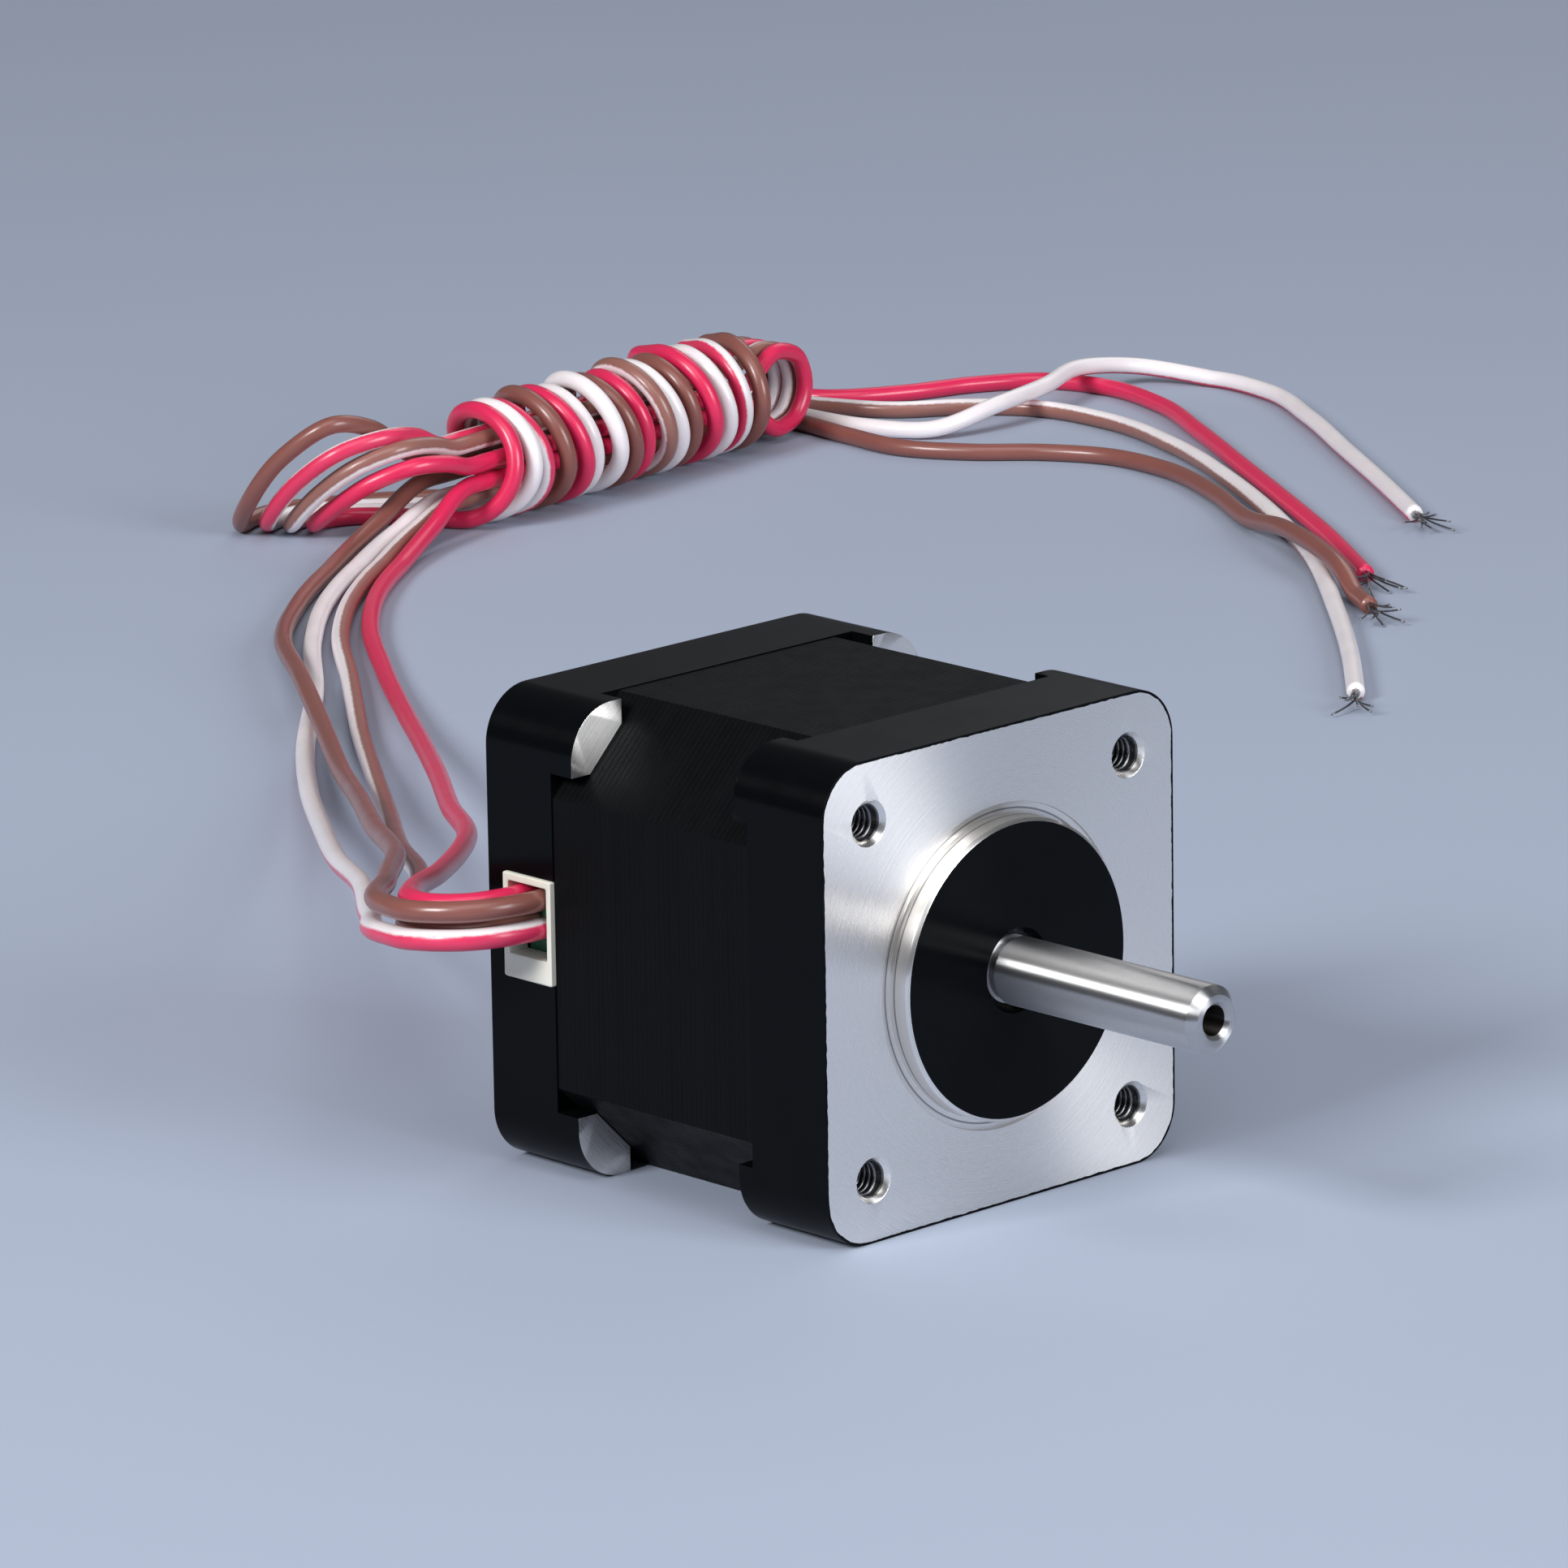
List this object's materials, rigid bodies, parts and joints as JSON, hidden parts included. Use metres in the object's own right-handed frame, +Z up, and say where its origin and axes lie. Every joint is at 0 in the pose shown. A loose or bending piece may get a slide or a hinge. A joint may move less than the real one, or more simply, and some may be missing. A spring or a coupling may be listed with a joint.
{
  "type": "stepper motor",
  "caption": "Square-faced hybrid stepper motor with a round shaft, a pilot boss, corner mounting holes and flying leads wound into a hank.",
  "frame": {"origin": "centre of the square mounting face, on the shaft's axis", "axes": "-Y along the shaft, out of the mounting face; +Y into the body; +Z up; the motor lies on its flat side"},
  "size_m": [0.2316, 0.2326, 0.0352],
  "materials": {
    "machined_cap": "bright turned face, black painted sides",
    "painted_cap": "smooth black paint",
    "laminations": "satin black painted sheet stack",
    "former": "moulded",
    "winding": "enamelled copper wire",
    "shaft_steel": "ground and polished",
    "rotor_steel": "ground sheet stack",
    "magnet": "plated",
    "spacer": "turned",
    "spring_steel": "spring steel",
    "screw_steel": "zinc plated",
    "grommet": "moulded, cream",
    "circuit_board": "glass epoxy board",
    "solder": "solder",
    "bearing_steel": "ground bearing steel",
    "bearing_cage": "pressed",
    "bearing_shield": "pressed",
    "red_pvc": "glossy, red",
    "white_brown_pvc": "glossy, white with a brown stripe",
    "white_red_pvc": "glossy, white with a red stripe",
    "brown_pvc": "glossy, brown",
    "tinned_copper": "tinned strands"
  },
  "bodies": {
    "housing": {"front_cap": "machined_cap", "rear_cap": "painted_cap", "stator_stack": "laminations", "front_winding_former": "former", "rear_winding_former": "former", "phase_a_coils": "winding", "phase_b_coils": "winding", "front_bearing_outer_race": "bearing_steel", "front_bearing_shields": "bearing_shield", "rear_bearing_outer_race": "bearing_steel", "rear_bearing_shields": "bearing_shield", "preload_washer": "spring_steel", "assembly_screws": "screw_steel", "lock_washers": "spring_steel", "lead_grommet": "grommet", "terminal_board": "circuit_board", "solder_joints": "solder", "red_lead": "red_pvc", "red_lead_hank": "red_pvc", "red_lead_tail": "red_pvc", "red_lead_end": "tinned_copper", "white_brown_lead": "white_brown_pvc", "white_brown_lead_hank": "white_brown_pvc", "white_brown_lead_tail": "white_brown_pvc", "white_brown_lead_end": "tinned_copper", "white_red_lead": "white_red_pvc", "white_red_lead_hank": "white_red_pvc", "white_red_lead_tail": "white_red_pvc", "white_red_lead_end": "tinned_copper", "brown_lead": "brown_pvc", "brown_lead_hank": "brown_pvc", "brown_lead_tail": "brown_pvc", "brown_lead_end": "tinned_copper"},
    "rotor": {"shaft": "shaft_steel", "front_rotor_cup": "rotor_steel", "rear_rotor_cup": "rotor_steel", "rotor_magnet": "magnet", "front_spacer": "spacer", "rear_spacer": "spacer", "front_bearing_inner_race": "bearing_steel", "rear_bearing_inner_race": "bearing_steel"},
    "front_ball_set": {"front_bearing_balls": "bearing_steel", "front_bearing_cage": "bearing_cage"},
    "rear_ball_set": {"rear_bearing_balls": "bearing_steel", "rear_bearing_cage": "bearing_cage"}
  },
  "joints": [
    {"name": "rotor_spin", "type": "hinge", "parent": "housing", "child": "rotor", "pos_m": [0, 0, 0], "axis": [0, -1, 0], "continuous": true},
    {"name": "front_cage_orbit", "type": "hinge", "parent": "housing", "child": "front_ball_set", "pos_m": [0, 0, 0], "axis": [0, -1, 0], "continuous": true},
    {"name": "rear_cage_orbit", "type": "hinge", "parent": "housing", "child": "rear_ball_set", "pos_m": [0, 0, 0], "axis": [0, -1, 0], "continuous": true}
  ],
  "couplings": [
    {"joint": "front_cage_orbit", "follows": "rotor_spin", "ratio": 0.3944},
    {"joint": "rear_cage_orbit", "follows": "rotor_spin", "ratio": 0.3944}
  ]
}
